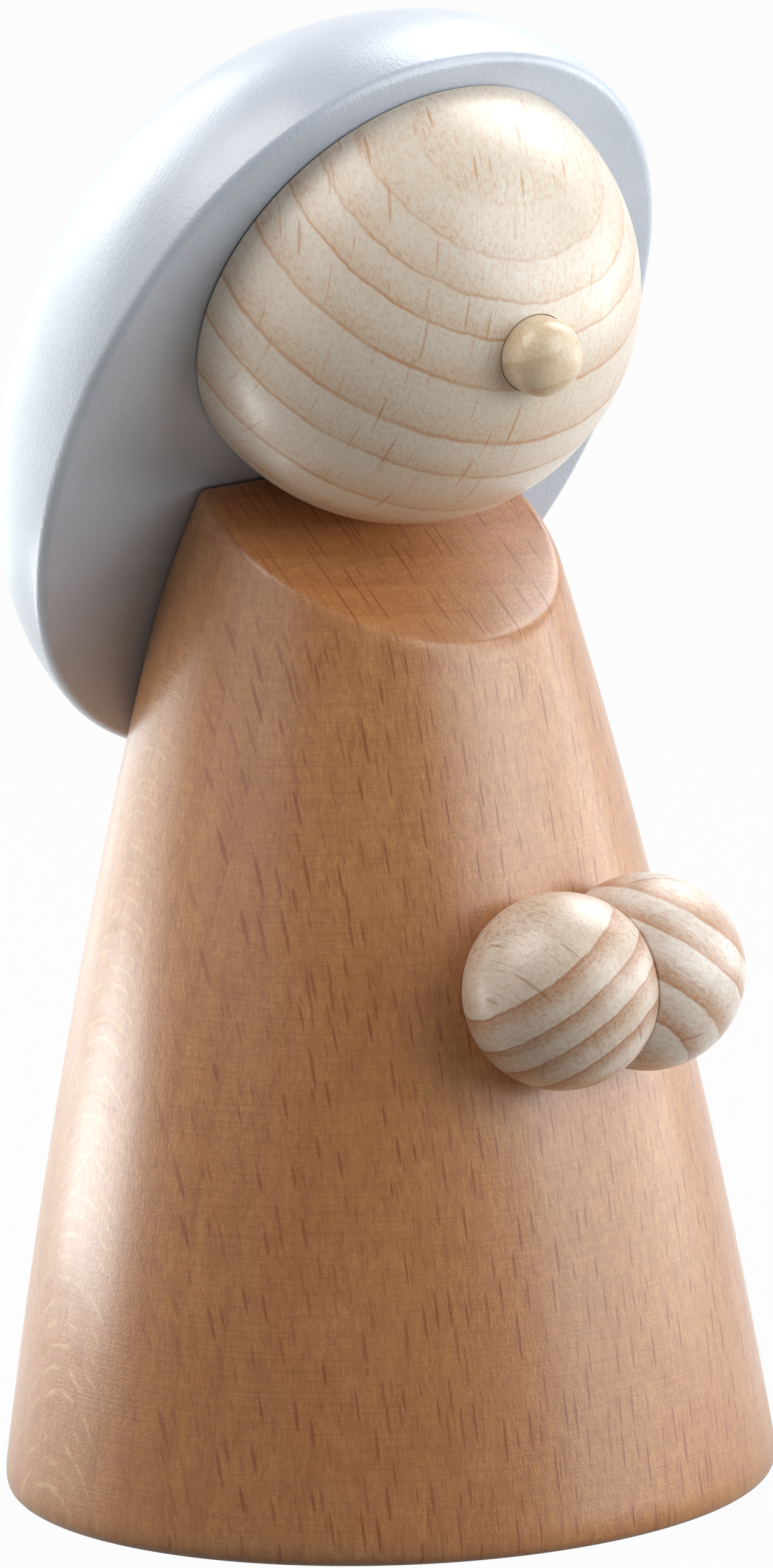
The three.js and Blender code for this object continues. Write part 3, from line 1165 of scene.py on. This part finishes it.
# Soft panels. The way to each one is in the camera's own directions (right, up, back),
# from a point above the base at the height of its aim, and its glow is its radiance.
panels = {
    "leftTall": {
        "way": (-0.788, 0.0, -0.616), "distance": 0.24, "width": 0.26, "height": 0.28,
        "glow": 1.1, "aim": 0.11, "tone": "window",
    },
    "leftLow": {
        "way": (-0.8, -0.53, -0.29), "distance": 0.11, "width": 0.05, "height": 0.035,
        "glow": 4.4, "aim": 0.09, "tone": "cool",
    },
    "leftFill": {
        "way": (-0.85, -0.05, 0.52), "distance": 0.15, "width": 0.12, "height": 0.1,
        "glow": 1.0, "aim": 0.102, "tone": "plain",
    },
    "topLeft": {
        "way": (-0.55, 0.75, 0.35), "distance": 0.5, "width": 0.34, "height": 0.34,
        "glow": 3.9, "aim": 0.055, "tone": "warm",
    },
    "topBack": {
        "way": (-0.6, 0.62, -0.5), "distance": 0.45, "width": 0.28, "height": 0.22,
        "glow": 2.8, "aim": 0.055, "tone": "cool",
    },
    "topRight": {
        "way": (0.36, 0.86, -0.36), "distance": 0.45, "width": 0.31, "height": 0.31,
        "glow": 4.0, "aim": 0.055, "tone": "cool",
    },
    "rightTall": {
        "way": (1.0, 0.0, 0.035), "distance": 0.3, "width": 0.42, "height": 0.18,
        "glow": 2.9, "aim": 0.06, "tone": "cool",
    },
    "rightHigh": {
        "way": (0.76, 0.38, 0.5), "distance": 0.4, "width": 0.34, "height": 0.3,
        "glow": 2.8, "aim": 0.055, "tone": "pale",
    },
}


# How much of the white shows: all to the camera, and to gloss less in front, where the
# room of the photographer is dim. Soft light gets none.
def shownTo(tree, place, limits, glow):
    ray = tree.nodes.new("ShaderNodeLightPath")
    straight = Field(tree, ray.outputs["Is Camera Ray"])
    straight = straight.calc("MAXIMUM", Field(tree, ray.outputs["Is Transmission Ray"]))
    facing = add(tree, "ShaderNodeVectorMath", {"operation": "DOT_PRODUCT"})
    feed(tree, facing.inputs[0], place)
    facing.inputs[1].default_value = viewBack
    room = Field(tree, facing.outputs["Value"]).span(*limits, 1.0, studio["frontGloss"])
    gloss = Field(tree, ray.outputs["Is Glossy Ray"]) * room
    return (straight * glow).calc("MAXIMUM", gloss)


def makeFloor():
    half = studio["floorSize"] / 2
    mesh = bpy.data.meshes.new("floor")
    corners = [(-half, -half, 0), (half, -half, 0), (half, half, 0), (-half, half, 0)]
    mesh.from_pydata(corners, [], [(0, 1, 2, 3)])
    floor = bpy.data.objects.new("floor", mesh)
    scene.collection.objects.link(floor)
    material, tree, shader = newFinish("floorWhite")
    shader.inputs["Base Color"].default_value = studio["floorTone"]
    shader.inputs["Roughness"].default_value = studio["floorRough"]
    glow = add(tree, "ShaderNodeEmission", None, Strength=1.0)
    glow.inputs["Color"].default_value = (1, 1, 1, 1)
    place = tree.nodes.new("ShaderNodeTexCoord").outputs["Object"]
    blend = tree.nodes.new("ShaderNodeMixShader")
    feed(tree, blend.inputs[0], shownTo(tree, place, studio["floorDim"], studio["floorGlow"]))
    tree.links.new(shader.outputs[0], blend.inputs[1])
    tree.links.new(glow.outputs[0], blend.inputs[2])
    tree.links.new(blend.outputs[0], tree.nodes["Material Output"].inputs["Surface"])
    mesh.materials.append(material)


def makeWorld():
    world = bpy.data.worlds.new("studio")
    scene.world = world
    world.use_nodes = True
    tree = world.node_tree
    sky = tree.nodes["Background"]
    sky.inputs["Color"].default_value = (1, 1, 1, 1)
    way = tree.nodes.new("ShaderNodeTexCoord").outputs["Generated"]
    feed(tree, sky.inputs["Strength"], shownTo(tree, way, studio["worldDim"], 1.0))


def softPanel(name, panel):
    data = bpy.data.lights.new(name, "AREA")
    data.shape = "RECTANGLE"
    data.size = panel["width"]
    data.size_y = panel["height"]
    data.energy = panel["glow"] * math.pi * panel["width"] * panel["height"]
    data.color = tones[panel["tone"]]
    lamp = bpy.data.objects.new(name, data)
    way = seen(*panel["way"]).normalized()
    lamp.location = Vector((0, 0, panel["aim"])) + way * panel["distance"]
    lamp.rotation_euler = way.to_track_quat("Z", "Y").to_euler()
    lamp.visible_camera = False
    scene.collection.objects.link(lamp)


makeFloor()
makeWorld()
for name, panel in panels.items():
    softPanel(name, panel)
scene.view_settings.view_transform = "Standard"
print("studio set")
